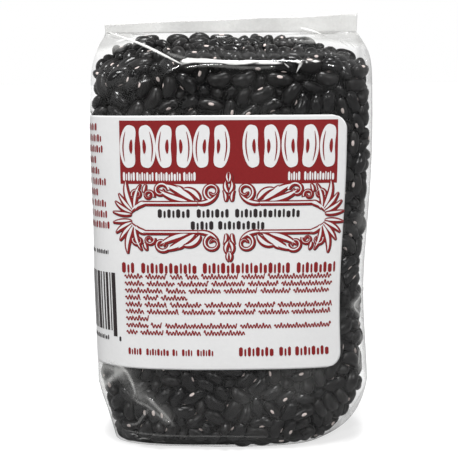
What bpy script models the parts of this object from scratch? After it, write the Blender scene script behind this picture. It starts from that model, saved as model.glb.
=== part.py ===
"""A sealed clear bag of dried beans that stands on its own base, with a paper label round its front and side.

The bag is one closed solid, lofted from rings: a flat base, rounded lower corners, bulging walls, a shoulder
that folds back over the beans, and an upright folded header along the back. The label is a thin sheet of
paper that follows the wall. +X is the bag's width, -Y its front, +Z up; the origin is the centre of the base.
"""

import math

import bmesh
import bpy
import numpy as np

# Driving sizes, in metres.
BAG_WIDTH = 0.1090
BAG_DEPTH = 0.0470
FRONT_SHOULDER = 0.1488
BACK_SHOULDER = 0.1560
HEADER_FOOT = 0.1605
HEADER_TOP = 0.1664
HEADER_RISE = 0.0018  # how much higher the header ends at its right than at its middle
HEADER_WIDTH = 0.1003
HEADER_FLARE = 0.0006
HEADER_THICKNESS = 0.0010
HEADER_INSET = 0.0020  # from the back wall's top to the header's middle plane

# The base and the rounded lower corners.
BASE_WIDTH = 0.0920
BASE_DEPTH = 0.0340
BASE_SHIFT = 0.0030  # the base lies this far to the left of the wall's middle
LOWER_CORNER_HEIGHT = 0.0180
BASE_SQUARENESS = 3.0

# The wall's half width and half depth, as shares of the driving sizes, and its squareness, at shares of the
# shoulder's height.
WALL_LEVELS = (0.00, 0.16, 0.35, 0.60, 0.85, 1.00)
WIDTH_SHARES = (0.990, 1.000, 1.000, 1.000, 1.000, 0.980)
DEPTH_SHARES = (1.000, 1.000, 0.985, 0.955, 0.920, 0.900)
SQUARENESSES = (3.0, 3.1, 3.6, 4.2, 4.6, 4.6)

# The right wall is drawn in a little between the lower and the upper bulge.
WAIST_DEPTH = 0.0020
WAIST_HEIGHT = 0.0640
WAIST_REACH = 0.0300

# The shoulder's front corners lie lower than its middle, the left one from further in.
LEFT_DROP = 0.0065
LEFT_DROP_FROM = 0.0180
LEFT_DROP_FULL = 0.0500
RIGHT_DROP = 0.0040
RIGHT_DROP_FROM = 0.0330
RIGHT_DROP_FULL = 0.0520
SHOULDER_ROUND = 0.0045
CORNER_ROUND = 0.0100
SIDE_ROUND_FROM = 0.0440  # towards the sides the shoulder's rounding grows to the corners' rounding
SIDE_ROUND_FULL = 0.0520
TOP_SHARE = 0.45  # the most of the top's slope that the rounding takes up

# Which part of the wall's half width and half depth runs into the header's ends and edges.
HEADER_END_SHARE = 0.92
HEADER_EDGE_SHARE = 0.72

# The label, measured along the wall from the front's middle line; minus is towards the left side.
LABEL_LEFT = -0.0860
LABEL_RIGHT = 0.0437
LABEL_BOTTOM = 0.0334
LABEL_TOP = 0.1293
LABEL_CORNER = 0.0055
LABEL_GAP = 0.00035
LABEL_THICKNESS = 0.00030
LABEL_COLUMNS = 52
LABEL_ROWS = 16

RING_POINTS = 72
LOWER_CORNER_RINGS = 6
WALL_RINGS = 15
SHOULDER_RINGS = 4
TOP_RINGS = 4
OUTLINE_SAMPLES = 720


def smoothstep(value):
    """0 below 0, 1 above 1 and an S-shaped rise between."""
    clamped = np.clip(value, 0.0, 1.0)
    return clamped * clamped * (3.0 - 2.0 * clamped)


def through(place, places, values):
    """A smooth curve through the values: cubic pieces whose slopes are the neighbours' mean slopes."""
    places = np.asarray(places, float)
    values = np.asarray(values, float)
    slopes = np.gradient(values, places)
    piece = np.clip(np.searchsorted(places, place, side="right") - 1, 0, len(places) - 2)
    length = places[piece + 1] - places[piece]
    t = (place - places[piece]) / length
    start = (1 + 2 * t) * (1 - t) ** 2 * values[piece] + t * (1 - t) ** 2 * length * slopes[piece]
    end = t * t * (3 - 2 * t) * values[piece + 1] + t * t * (t - 1) * length * slopes[piece + 1]
    return start + end


def outline(shares, half_width, half_depth, squareness):
    """Points of a superellipse at shares of the way round it, from the back's middle towards -X."""
    angle = np.linspace(0.5 * math.pi, 2.5 * math.pi, OUTLINE_SAMPLES + 1)
    power = 2.0 / squareness
    x = half_width * np.sign(np.cos(angle)) * np.abs(np.cos(angle)) ** power
    y = half_depth * np.sign(np.sin(angle)) * np.abs(np.sin(angle)) ** power
    walked = np.concatenate([[0.0], np.cumsum(np.hypot(np.diff(x), np.diff(y)))])
    walked /= walked[-1]
    return np.interp(shares, walked, x), np.interp(shares, walked, y)


def wall_ring(shares, height):
    """One ring of the wall at a height. Its lower corners draw in to the base as a quarter ellipse."""
    level = height / FRONT_SHOULDER
    half_width = 0.5 * BAG_WIDTH * through(level, WALL_LEVELS, WIDTH_SHARES)
    half_depth = 0.5 * BAG_DEPTH * through(level, WALL_LEVELS, DEPTH_SHARES)
    squareness = through(level, WALL_LEVELS, SQUARENESSES)
    down = max(0.0, 1.0 - height / LOWER_CORNER_HEIGHT)
    out = math.sqrt(1.0 - down * down)
    half_width = 0.5 * BASE_WIDTH + (half_width - 0.5 * BASE_WIDTH) * out
    half_depth = 0.5 * BASE_DEPTH + (half_depth - 0.5 * BASE_DEPTH) * out
    squareness = BASE_SQUARENESS + (squareness - BASE_SQUARENESS) * out
    x, y = outline(shares, half_width, half_depth, squareness)
    waist = WAIST_DEPTH * math.exp(-(((height - WAIST_HEIGHT) / WAIST_REACH) ** 2))
    x = x - waist * smoothstep(x / half_width) - BASE_SHIFT * (1.0 - out)
    return np.column_stack([x, y, np.full_like(x, height)])


def frontness(ring):
    """1 at the front of a ring, 0 at its back."""
    return np.clip(0.5 - ring[:, 1] / BAG_DEPTH, 0.0, 1.0)


def corner_drops(ring):
    """How far the left and the right front corner have dropped, from 0 to 1, for each point of a ring."""
    front = frontness(ring)
    left = smoothstep((-ring[:, 0] - LEFT_DROP_FROM) / (LEFT_DROP_FULL - LEFT_DROP_FROM))
    right = smoothstep((ring[:, 0] - RIGHT_DROP_FROM) / (RIGHT_DROP_FULL - RIGHT_DROP_FROM))
    return left * front, right * front


def shoulder_line(shares):
    """The line where the wall would meet the top, if it weren't rounded."""
    ring = wall_ring(shares, FRONT_SHOULDER)
    left, right = corner_drops(ring)
    ring[:, 2] = BACK_SHOULDER + (FRONT_SHOULDER - BACK_SHOULDER) * frontness(ring)
    ring[:, 2] -= LEFT_DROP * left + RIGHT_DROP * right
    return ring


def header_ring(shares, height_share):
    """One ring of the header, a thin upright slit: 0 is its foot and 1 its top edge."""
    shoulder = wall_ring(shares, FRONT_SHOULDER)
    along = np.clip(shoulder[:, 0] / (0.5 * HEADER_END_SHARE * BAG_WIDTH), -1.0, 1.0)
    across = np.clip(shoulder[:, 1] / (0.5 * HEADER_EDGE_SHARE * BAG_DEPTH), -1.0, 1.0)
    half_width = 0.5 * HEADER_WIDTH + HEADER_FLARE * height_share
    middle_y = 0.5 * BAG_DEPTH * DEPTH_SHARES[-1] - HEADER_INSET
    top = HEADER_TOP + HEADER_RISE * along
    x = half_width * along
    y = middle_y + 0.5 * HEADER_THICKNESS * across
    z = HEADER_FOOT + (top - HEADER_FOOT) * height_share
    return np.column_stack([x, y, z])


def shoulder_rings(shares):
    """Rings round the shoulder and up the top's slope: a quadratic curve, then straight lines."""
    corner = shoulder_line(shares)
    foot = header_ring(shares, 0.0)
    left, right = corner_drops(corner)
    side = smoothstep((np.abs(corner[:, 0]) - SIDE_ROUND_FROM) / (SIDE_ROUND_FULL - SIDE_ROUND_FROM))
    softness = np.maximum(np.maximum(left, right), side)
    radius = SHOULDER_ROUND + (CORNER_ROUND - SHOULDER_ROUND) * softness
    slope = foot - corner
    length = np.linalg.norm(slope, axis=1)
    onto_top = np.minimum(radius / length, TOP_SHARE)
    below = corner - radius[:, None] * np.array([0.0, 0.0, 1.0])
    above = corner + onto_top[:, None] * slope
    rings = []
    for t in np.linspace(0.0, 1.0, SHOULDER_RINGS):
        rings.append((1 - t) ** 2 * below + 2 * t * (1 - t) * corner + t * t * above)
    for t in np.linspace(0.0, 1.0, TOP_RINGS + 1)[1:]:
        rings.append(above + t * (foot - above))
    return rings


def bag_rings(shares):
    """Every ring of the bag, from the base's rim to the header's top edge."""
    rings = []
    for turn in np.linspace(0.0, 0.5 * math.pi, LOWER_CORNER_RINGS + 1)[:-1]:
        rings.append(wall_ring(shares, LOWER_CORNER_HEIGHT * (1.0 - math.cos(turn))))
    upper = shoulder_rings(shares)
    for rise in np.linspace(0.0, 1.0, WALL_RINGS + 1)[:-1]:
        nominal = LOWER_CORNER_HEIGHT + rise * (FRONT_SHOULDER - SHOULDER_ROUND - LOWER_CORNER_HEIGHT)
        level = wall_ring(shares, nominal)
        level[:, 2] = LOWER_CORNER_HEIGHT + rise * (upper[0][:, 2] - LOWER_CORNER_HEIGHT)
        rings.append(level)
    return rings + upper + [header_ring(shares, 1.0)]


def loft(rings):
    """A bmesh through the rings, with a flat fan across the base and a strip across the header's top edge."""
    mesh = bmesh.new()
    rows = [[mesh.verts.new(point) for point in ring] for ring in rings]
    count = len(rows[0])
    for lower, upper in zip(rows, rows[1:]):
        for i in range(count):
            j = (i + 1) % count
            mesh.faces.new((lower[i], lower[j], upper[j], upper[i]))
    centre = mesh.verts.new((-BASE_SHIFT, 0.0, 0.0))
    for i in range(count):
        mesh.faces.new((centre, rows[0][(i + 1) % count], rows[0][i]))
    # Along the top edge, points at equal steps from either end of the slit face each other across it.
    top = rows[-1]
    quarter = count // 4
    for end in (quarter, 3 * quarter):
        for step in range(quarter):
            before = [top[(end - step - 1) % count], top[(end - step) % count]]
            after = [top[(end + step) % count], top[(end + step + 1) % count]]
            if step == 0:
                before.pop()
            mesh.faces.new(before + after)
    bmesh.ops.recalc_face_normals(mesh, faces=mesh.faces)
    return mesh


def material(name, colour, roughness):
    """A plain Principled material."""
    made = bpy.data.materials.new(name)
    made.use_nodes = True
    shader = made.node_tree.nodes["Principled BSDF"]
    shader.inputs["Base Color"].default_value = (*colour, 1.0)
    shader.inputs["Roughness"].default_value = roughness
    shader.inputs["Metallic"].default_value = 0.0
    return made


def add_object(name, mesh, finish):
    """A named object in the scene from a bmesh, shaded smooth but for its sharp edges."""
    data = bpy.data.meshes.new(name)
    mesh.to_mesh(data)
    mesh.free()
    data.materials.append(finish)
    data.shade_smooth()
    data.set_sharp_from_angle(angle=math.radians(50))
    made = bpy.data.objects.new(name, data)
    bpy.context.scene.collection.objects.link(made)
    return made


def make_bag():
    """The film bag and the beans that fill it, as one solid."""
    shares = np.arange(RING_POINTS) / RING_POINTS
    finish = material("beans_in_film", (0.012, 0.013, 0.015), 0.3)
    return add_object("bean_bag", loft(bag_rings(shares)), finish)


def wall_normals(shares, height):
    """Outward unit normals of the wall at shares of the way round, from the slopes along and up the wall."""
    step = 0.0005
    along = wall_ring(shares + step, height) - wall_ring(shares - step, height)
    up = wall_ring(shares, height + step) - wall_ring(shares, height - step)
    normals = np.cross(along, up)
    return normals / np.linalg.norm(normals, axis=1)[:, None]


def label_row(height):
    """One row of label points, drawn in at its ends where the corners are rounded."""
    whole = np.linspace(0.0, 1.0, OUTLINE_SAMPLES + 1)
    middle = wall_ring(whole, 0.5 * FRONT_SHOULDER)
    girth = np.linalg.norm(np.diff(middle, axis=0), axis=1).sum()
    to_edge = min(height - LABEL_BOTTOM, LABEL_TOP - height)
    into_corner = max(0.0, LABEL_CORNER - to_edge)
    inset = LABEL_CORNER - math.sqrt(LABEL_CORNER**2 - into_corner**2)
    along = np.linspace(LABEL_LEFT + inset, LABEL_RIGHT - inset, LABEL_COLUMNS)
    shares = 0.5 + along / girth
    return wall_ring(shares, height) + LABEL_GAP * wall_normals(shares, height)


def label_heights():
    """The label's rows, closer together round its corners."""
    turns = np.linspace(0.0, 0.5 * math.pi, 4)
    low = LABEL_BOTTOM + LABEL_CORNER * (1.0 - np.cos(turns))
    high = LABEL_TOP - LABEL_CORNER * (1.0 - np.cos(turns))
    middle = np.linspace(low[-1], high[-1], LABEL_ROWS)[1:-1]
    return np.concatenate([low, middle, high[::-1]])


def make_label():
    """The paper label, a sheet that follows the wall with a small gap and is then given its thickness."""
    mesh = bmesh.new()
    rows = [[mesh.verts.new(point) for point in label_row(height)] for height in label_heights()]
    for lower, upper in zip(rows, rows[1:]):
        for i in range(LABEL_COLUMNS - 1):
            mesh.faces.new((lower[i], lower[i + 1], upper[i + 1], upper[i]))
    made = add_object("label", mesh, material("label_paper", (0.78, 0.79, 0.79), 0.45))
    paper = made.modifiers.new("paper", "SOLIDIFY")
    paper.thickness = LABEL_THICKNESS
    paper.offset = 1.0
    return made


def stand_on_centre(pieces):
    """Shifts every piece by the same step so that the whole's bounding box is centred on the origin."""
    bpy.context.view_layer.update()
    graph = bpy.context.evaluated_depsgraph_get()
    corners = [np.array(piece.evaluated_get(graph).bound_box) for piece in pieces]
    low = np.min([c.min(axis=0) for c in corners], axis=0)
    high = np.max([c.max(axis=0) for c in corners], axis=0)
    for piece in pieces:
        piece.location = (-0.5 * (low[0] + high[0]), -0.5 * (low[1] + high[1]), -low[2])


def main():
    for leftover in list(bpy.data.objects):
        bpy.data.objects.remove(leftover)
    stand_on_centre([make_bag(), make_label()])


main()
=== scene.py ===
"""A sealed clear bag of black beans with a paper label: its looks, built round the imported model.

Lengths are in millimetres until a mesh is made, which is in metres. +X is the bag's width, -Y its front and
+Z up. The film, the label and the pile of beans all follow one surface: rings of a superellipse that is wide
and flat at the walls, drawn in at the base, and folded back at the shoulder to an upright header.
"""

import math

import bpy
import numpy as np
from mathutils import Matrix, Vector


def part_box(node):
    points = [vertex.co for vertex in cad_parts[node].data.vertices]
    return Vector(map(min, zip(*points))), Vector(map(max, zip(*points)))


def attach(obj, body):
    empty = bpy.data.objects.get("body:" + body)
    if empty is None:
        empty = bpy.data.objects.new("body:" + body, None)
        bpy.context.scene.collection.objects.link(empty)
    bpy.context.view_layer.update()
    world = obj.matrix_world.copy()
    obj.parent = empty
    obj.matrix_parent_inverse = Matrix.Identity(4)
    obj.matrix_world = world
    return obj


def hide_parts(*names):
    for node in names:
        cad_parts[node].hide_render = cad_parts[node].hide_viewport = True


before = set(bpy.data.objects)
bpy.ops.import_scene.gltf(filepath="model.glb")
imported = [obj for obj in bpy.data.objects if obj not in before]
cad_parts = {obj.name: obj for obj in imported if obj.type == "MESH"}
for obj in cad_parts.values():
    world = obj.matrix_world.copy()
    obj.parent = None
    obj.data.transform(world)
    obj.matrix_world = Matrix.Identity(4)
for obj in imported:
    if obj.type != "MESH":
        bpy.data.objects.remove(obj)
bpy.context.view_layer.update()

MM = 0.001
bag_low, bag_high = (np.array(corner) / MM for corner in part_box("bean_bag"))
label_low, label_high = (np.array(corner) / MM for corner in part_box("label"))

# The bag's driving sizes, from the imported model's boxes, and the heights that its folds add.
MIDDLE = np.array([*(0.5 * (bag_low + bag_high))[:2], 0.0])
HALF_WIDTH = 0.5 * (bag_high - bag_low)[0] - 0.9  # less how far the beans and the label stand out of the wall
HALF_DEPTH = 0.5 * (bag_high - bag_low)[1] - 0.4
FRONT_SHOULDER = 148.8
HEADER_FOOT = 160.8
HEADER_TOP = 166.4
HEADER_RISE = bag_high[2] - HEADER_TOP
HEADER_HALF_WIDTH = 50.4
HEADER_THICKNESS = 0.7
BASE_HALF_WIDTH = 40.5
BASE_HALF_DEPTH = 15.5
BASE_SHIFT = 7.0
LOWER_CORNER = 24.0
FRONT_CORNER = 8.0
SHOULDER_ROUND = 3.6
SIDE_ROUND = 9.0

# Half width, half depth and squareness of the wall at shares of the shoulder's height.
WALL_LEVELS = np.array([0.00, 0.16, 0.35, 0.60, 0.85, 1.00])
WIDTH_SHARES = np.array([0.99, 1.00, 1.00, 1.00, 1.00, 0.985])
DEPTH_SHARES = np.array([1.00, 1.00, 0.985, 0.955, 0.92, 0.90])
SQUARENESSES = np.array([2.8, 3.0, 3.3, 3.7, 4.0, 4.2])

# The right wall's waist.
WAIST_DEPTH = 2.0
WAIST_HEIGHT = 64.0
WAIST_REACH = 30.0

# A fold runs over the top from the header's left foot to the front shoulder; left of it the film falls away.
FOLD_BACK = np.array([-50.3, 19.0])
FOLD_FRONT = np.array([-17.5, -21.5])
FOLD_FALL = 0.32
RIGHT_DROP = 4.0

# The film's grid.
COLUMNS = 380
BASE_ROWS, CORNER_ROWS, WALL_ROWS, SHOULDER_ROWS, TOP_ROWS, HEADER_ROWS = 8, 22, 150, 10, 38, 9

# Beans.
BEAN_LENGTH, BEAN_WIDTH, BEAN_THICKNESS = 9.3, 6.0, 4.9
BALL_RADIUS = 2.55
BALL_SPACING = 2.0
BEAN_COUNT = 1700
SHELL_DEPTH = 10.5
# The plug at the base of the pile's dark heart: painted shadow, a near-black band where the film tucks under.
SHADE_PLUG_INSET = 0.4
SHADE_PLUG_HEIGHT = 3.2
RECESS = 2.8  # the most that a bean lies back from the film

rng = np.random.default_rng(26)


def smoothstep(value):
    """0 below 0, 1 above 1 and an S-shaped rise between."""
    clamped = np.clip(value, 0.0, 1.0)
    return clamped * clamped * (3.0 - 2.0 * clamped)


def through(place, places, values):
    """A smooth curve through the values: cubic pieces whose slopes are the neighbours' mean slopes."""
    slopes = np.gradient(values, places)
    piece = np.clip(np.searchsorted(places, place, side="right") - 1, 0, len(places) - 2)
    length = places[piece + 1] - places[piece]
    t = (place - places[piece]) / length
    start = (1 + 2 * t) * (1 - t) ** 2 * values[piece] + t * (1 - t) ** 2 * length * slopes[piece]
    end = t * t * (3 - 2 * t) * values[piece + 1] + t * t * (t - 1) * length * slopes[piece + 1]
    return start + end


def superellipse(shares, half_width, half_depth, squareness):
    """Points at shares of the way round |x/a|^n + |y/b|^n = 1, from the back's middle by -X to the front."""
    angle = np.linspace(0.5 * math.pi, 2.5 * math.pi, 721)
    x = half_width * np.sign(np.cos(angle)) * np.abs(np.cos(angle)) ** (2.0 / squareness)
    y = half_depth * np.sign(np.sin(angle)) * np.abs(np.sin(angle)) ** (2.0 / squareness)
    walked = np.concatenate([[0.0], np.cumsum(np.hypot(np.diff(x), np.diff(y)))])
    return np.interp(shares, walked / walked[-1], x), np.interp(shares, walked / walked[-1], y)


def wall_sizes(height):
    """Half width, half depth and squareness of the wall at heights, before the lower corners draw it in."""
    level = np.clip(height / FRONT_SHOULDER, 0.0, 1.0)
    half_width = HALF_WIDTH * through(level, WALL_LEVELS, WIDTH_SHARES)
    half_depth = HALF_DEPTH * through(level, WALL_LEVELS, DEPTH_SHARES)
    return half_width, half_depth, through(level, WALL_LEVELS, SQUARENESSES)


def waist(height):
    """How far the right wall is drawn in at a height: a bell curve round the waist."""
    return WAIST_DEPTH * np.exp(-(((height - WAIST_HEIGHT) / WAIST_REACH) ** 2))


def drawn_in(height, frontal, right=0.5):
    """0 at the base and 1 above the lower corners: (1 - d^p)^(1/p), a short tuck in front and a long one
    at the sides."""
    down = np.clip(1.0 - height / (LOWER_CORNER + (FRONT_CORNER - LOWER_CORNER) * frontal), 0.0, 1.0)
    power = 1.0 + 0.35 * right * (1.0 - frontal) + 0.3 * frontal
    return (1.0 - down**power) ** (1.0 / power)


def wall_ring(shares, height):
    """One ring of the wall: a superellipse that blends to the base's own outline in the lower corners."""
    half_width, half_depth, squareness = wall_sizes(height)
    x, y = superellipse(shares, half_width, half_depth, squareness)
    base_x, base_y = superellipse(shares, BASE_HALF_WIDTH, BASE_HALF_DEPTH, 3.0)
    out = drawn_in(height, smoothstep(1.6 * np.abs(y) / half_depth - 0.5), smoothstep(0.5 + x / half_width))
    x = x - waist(height) * smoothstep(x / half_width)
    x = base_x - BASE_SHIFT + (x - base_x + BASE_SHIFT) * out
    y = base_y + (y - base_y) * out
    return np.column_stack([x, y, np.full_like(x, height)])


def top_height(x, y):
    """The top's height: a slope up to the header, less a plane that falls left of the fold, less the right
    drop."""
    back = np.clip((y + 21.0) / 40.0, -0.1, 1.0)
    slope = FRONT_SHOULDER + (HEADER_FOOT - FRONT_SHOULDER) * back
    along = (FOLD_FRONT - FOLD_BACK) / np.linalg.norm(FOLD_FRONT - FOLD_BACK)
    beside = (x - FOLD_FRONT[0]) * along[1] - (y - FOLD_FRONT[1]) * along[0]
    fall = FOLD_FALL * np.clip(beside, 0.0, None)
    drop = RIGHT_DROP * smoothstep((x - 33.0) / 19.0) * (1.0 - back)
    return slope - fall - drop


def header_ring(shares, rise):
    """One ring of the header, a thin upright slit with a slight wave; rise is 0 at its foot and 1 at its
    top."""
    shoulder = wall_ring(shares, FRONT_SHOULDER)
    along = np.clip(shoulder[:, 0] / (0.92 * HALF_WIDTH), -1.0, 1.0)
    across = np.clip(shoulder[:, 1] / (0.72 * HALF_DEPTH), -1.0, 1.0)
    x = (HEADER_HALF_WIDTH + 0.3 * rise) * along
    wave = 0.5 * np.sin(0.11 * x + 0.6) + 0.35 * rise * np.sin(0.21 * x + 2.0)
    y = 0.90 * HALF_DEPTH - 2.2 + wave + 0.5 * HEADER_THICKNESS * across
    top = HEADER_TOP + HEADER_RISE * along + 0.15 * np.sin(0.17 * x)
    return np.column_stack([x, y, HEADER_FOOT + (top - HEADER_FOOT) * rise])


def film_rows():
    """The film's rest surface, an array of rings from the base's middle to the header's top edge."""
    shares = np.arange(COLUMNS) / COLUMNS
    rim = wall_ring(shares, 0.0)
    rows = [rim * (s, s, 1.0) - (BASE_SHIFT * (1 - s), 0.0, 0.0)
            for s in np.linspace(0.04, 1.0, BASE_ROWS)[:-1]]
    turns = np.linspace(0.0, 0.5 * math.pi, CORNER_ROWS + 1)[:-1]
    rows += [wall_ring(shares, LOWER_CORNER * (1.0 - math.cos(turn))) for turn in turns]
    corner = wall_ring(shares, FRONT_SHOULDER)
    corner[:, 2] = top_height(corner[:, 0], corner[:, 1])
    foot = header_ring(shares, 0.0)
    side = np.maximum(smoothstep((corner[:, 0] - 42.0) / 10.0),
                      smoothstep((FOLD_FRONT[0] - corner[:, 0]) / 14.0))
    radius = SHOULDER_ROUND + (SIDE_ROUND - SHOULDER_ROUND) * side
    slope = foot - corner
    onto_top = np.minimum(radius / np.linalg.norm(slope, axis=1), 0.5)
    below = corner - radius[:, None] * np.array([0.0, 0.0, 1.0])
    above = corner + onto_top[:, None] * slope
    for rise in np.linspace(0.0, 1.0, WALL_ROWS + 1)[:-1]:
        ring = wall_ring(shares, LOWER_CORNER + rise * (FRONT_SHOULDER - SHOULDER_ROUND - LOWER_CORNER))
        ring[:, 2] = LOWER_CORNER + rise * (below[:, 2] - LOWER_CORNER)
        rows.append(ring)
    for t in np.linspace(0.0, 1.0, SHOULDER_ROWS + 1)[:-1]:
        rows.append((1 - t) ** 2 * below + 2 * t * (1 - t) * corner + t * t * above)
    for t in (*np.linspace(0.0, 1.0, TOP_ROWS)[:-1], 0.997):
        ring = above + t * (foot - above)
        ridge = np.clip(top_height(ring[:, 0], ring[:, 1]) - ring[:, 2], 0.0, None)
        ring[:, 2] += ridge * np.sin(math.pi * t) ** 2
        rows.append(ring)
    rows += [header_ring(shares, t) for t in (0.0, 0.02, *np.linspace(0.0, 1.0, HEADER_ROWS - 1)[1:])]
    return np.array(rows)


def grid_normals(rows):
    """Unit outward normals of a grid of rings that close on themselves."""
    along = np.roll(rows, -1, axis=1) - np.roll(rows, 1, axis=1)
    up = np.gradient(rows, axis=0)
    normals = np.cross(along, up)
    return normals / np.maximum(np.linalg.norm(normals, axis=2, keepdims=True), 1e-9)


# The pile of beans: where its outside lies, and the beans settled inside it.


def pile_sizes(height):
    """Centre, half width, half depth and squareness of the pile, which follows the film's two sides
    closely."""
    half_width, half_depth, squareness = wall_sizes(height)
    left_base = -BASE_HALF_WIDTH - BASE_SHIFT
    right_base = BASE_HALF_WIDTH - BASE_SHIFT
    left = left_base + (0.1 - half_width - left_base) * drawn_in(height, 0.0, 0.0)
    right_wall = half_width - 0.5 - 1.1 * waist(height)
    right = right_base + (right_wall - right_base) * drawn_in(height, 0.0, 1.0)
    half_depth = BASE_HALF_DEPTH + (half_depth - 0.3 - BASE_HALF_DEPTH) * drawn_in(height, 1.0)
    return 0.5 * (left + right), 0.5 * (right - left), half_depth, squareness


def pile_top(x, y):
    """The pile's top: the film's, lower towards the header's two ends."""
    low_left = 5.0 * smoothstep((-x - 33.0) / 18.0)
    low_right = 6.5 * smoothstep((x - 27.0) / 24.0)
    back = np.clip((y + 21.0) / 40.0, 0.0, 1.0)
    return top_height(x, y) + 0.5 - (low_left + low_right) * back


def wall_depth(points):
    """How deep points lie under the pile's wall, and the wall's outward direction there."""
    centre, half_width, half_depth, squareness = pile_sizes(points[:, 2])
    x = points[:, 0] - centre
    across = np.abs(x / half_width)
    deep = np.abs(points[:, 1] / half_depth)
    reach = np.maximum(across**squareness + deep**squareness, 1e-9) ** (1.0 / squareness)
    slope_x = np.sign(x) * (across / reach) ** (squareness - 1.0) / half_width
    slope_y = np.sign(points[:, 1]) * (deep / reach) ** (squareness - 1.0) / half_depth
    steep = np.maximum(np.hypot(slope_x, slope_y), 1e-9)
    outward = np.column_stack([slope_x / steep, slope_y / steep, np.zeros(len(points))])
    return (1.0 - reach) / steep, outward


def top_depth(points):
    """How deep points lie under the pile's top, and the top's outward direction there."""
    height = pile_top(points[:, 0], points[:, 1])
    slope_x = pile_top(points[:, 0] + 1.0, points[:, 1]) - height
    slope_y = pile_top(points[:, 0], points[:, 1] + 1.0) - height
    outward = np.column_stack([-slope_x, -slope_y, np.ones(len(points))])
    steep = np.linalg.norm(outward, axis=1)
    return (height - points[:, 2]) / steep, outward / steep[:, None]


def pile_depth(points):
    """The depth under the nearest of the pile's wall, top and base, and the direction out of it."""
    depth, outward = wall_depth(points)
    top, up = top_depth(points)
    nearer = top < depth
    depth = np.where(nearer, top, depth)
    outward = np.where(nearer[:, None], up, outward)
    nearer = points[:, 2] < depth
    depth = np.where(nearer, points[:, 2], depth)
    outward = np.where(nearer[:, None], np.array([0.0, 0.0, -1.0]), outward)
    return depth, outward


def close_pairs(points, reach):
    """Pairs of points nearer than about reach, found by sorting the points into cubes of that size."""
    cell = np.floor((points - points.min(axis=0)) / reach).astype(np.int64) + 1
    size = cell.max(axis=0) + 2
    key = (cell[:, 0] * size[1] + cell[:, 1]) * size[2] + cell[:, 2]
    order = np.argsort(key, kind="stable")
    ranked = key[order]
    steps = [(i, j, k) for i in (-1, 0, 1) for j in (-1, 0, 1) for k in (-1, 0, 1) if (i, j, k) >= (0, 0, 0)]
    found = []
    for i, j, k in steps:
        wanted = ranked + (i * size[1] + j) * size[2] + k
        first = np.searchsorted(ranked, wanted, side="left")
        if (i, j, k) == (0, 0, 0):
            first = np.arange(len(points)) + 1
        last = np.searchsorted(ranked, wanted, side="right")
        count = np.maximum(last - first, 0)
        one = np.repeat(np.arange(len(points)), count)
        other = np.arange(count.sum()) - np.repeat(np.cumsum(count) - count, count) + np.repeat(first, count)
        found.append(np.column_stack([order[one], order[other]]))
    pairs = np.concatenate(found)
    gap = points[pairs[:, 0]] - points[pairs[:, 1]]
    return pairs[(gap**2).sum(axis=1) < reach**2]


def settle_beans():
    """Bean centres, axes and sizes: each bean is three balls in a row, pushed apart and held in the pile's
    shell."""
    tries = rng.uniform((-56.0, -25.0, 0.0), (56.0, 25.0, 165.0), (60000, 3))
    depth, _ = pile_depth(tries)
    centres = tries[(depth > BALL_RADIUS) & (depth < SHELL_DEPTH)][:BEAN_COUNT]
    axes = rng.normal(size=centres.shape)
    axes /= np.linalg.norm(axes, axis=1, keepdims=True)
    sizes = rng.uniform(0.93, 1.07, len(centres))
    offsets = np.array([-1.0, 0.0, 1.0]) * BALL_SPACING
    owner = np.repeat(np.arange(len(centres)), 3)
    recess = np.repeat(0.3 + RECESS * rng.random(len(centres)) ** 3, 3)
    passes = 230
    for step in range(passes):
        grown = 0.55 + 0.45 * min(1.0, step / (0.55 * passes))
        radius = np.repeat(BALL_RADIUS * sizes * grown, 3)
        balls = (centres[:, None] + axes[:, None] * (offsets[None, :, None] * (sizes * grown)[:, None, None]))
        balls = balls.reshape(-1, 3)
        if step % 5 == 0:
            pairs = close_pairs(balls, 2.0 * BALL_RADIUS * grown * 1.07 + 1.0)
            pairs = pairs[owner[pairs[:, 0]] != owner[pairs[:, 1]]]
        gap = balls[pairs[:, 0]] - balls[pairs[:, 1]]
        apart = np.maximum(np.linalg.norm(gap, axis=1), 1e-6)
        overlap = np.clip(radius[pairs[:, 0]] + radius[pairs[:, 1]] - apart, 0.0, None)
        push = gap * (0.42 * overlap / apart)[:, None]
        moved = np.zeros_like(balls)
        for side, sign in ((0, 1.0), (1, -1.0)):
            for part in range(3):
                moved[:, part] += sign * np.bincount(pairs[:, side], push[:, part], len(balls))
        pull = 0.10 if step < 0.85 * passes else 0.0
        depth, outward = pile_depth(balls)
        moved += outward * pull
        balls = balls + moved
        for surface in (wall_depth, top_depth):
            depth, outward = surface(balls)
            balls -= outward * np.clip(radius + recess - depth, 0.0, None)[:, None]
        balls[:, 2] = np.maximum(balls[:, 2], radius + 0.3)
        depth, outward = pile_depth(balls)
        balls += outward * np.clip(depth - SHELL_DEPTH, 0.0, 1.0)[:, None]
        balls = balls.reshape(-1, 3, 3)
        centres = balls.mean(axis=1)
        axes = balls[:, 2] - balls[:, 0]
        axes /= np.maximum(np.linalg.norm(axes, axis=1, keepdims=True), 1e-6)
    return centres, axes, sizes


def bean_frames(centres, axes):
    """Each bean's turn as three directions: along it, across its width and through its flat sides."""
    _, outward = pile_depth(centres)
    flat = outward - axes * (outward * axes).sum(axis=1, keepdims=True)
    flat += rng.normal(scale=0.02, size=flat.shape)
    flat /= np.linalg.norm(flat, axis=1, keepdims=True)
    wide = np.cross(flat, axes)
    loose = rng.random(len(axes)) < 0.5
    roll = np.where(loose, rng.uniform(-math.pi, math.pi, len(axes)), rng.normal(scale=0.5, size=len(axes)))
    cos, sin = np.cos(roll)[:, None], np.sin(roll)[:, None]
    return np.stack([axes, wide * cos + flat * sin, flat * cos - wide * sin], axis=2)


# Meshes.


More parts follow.
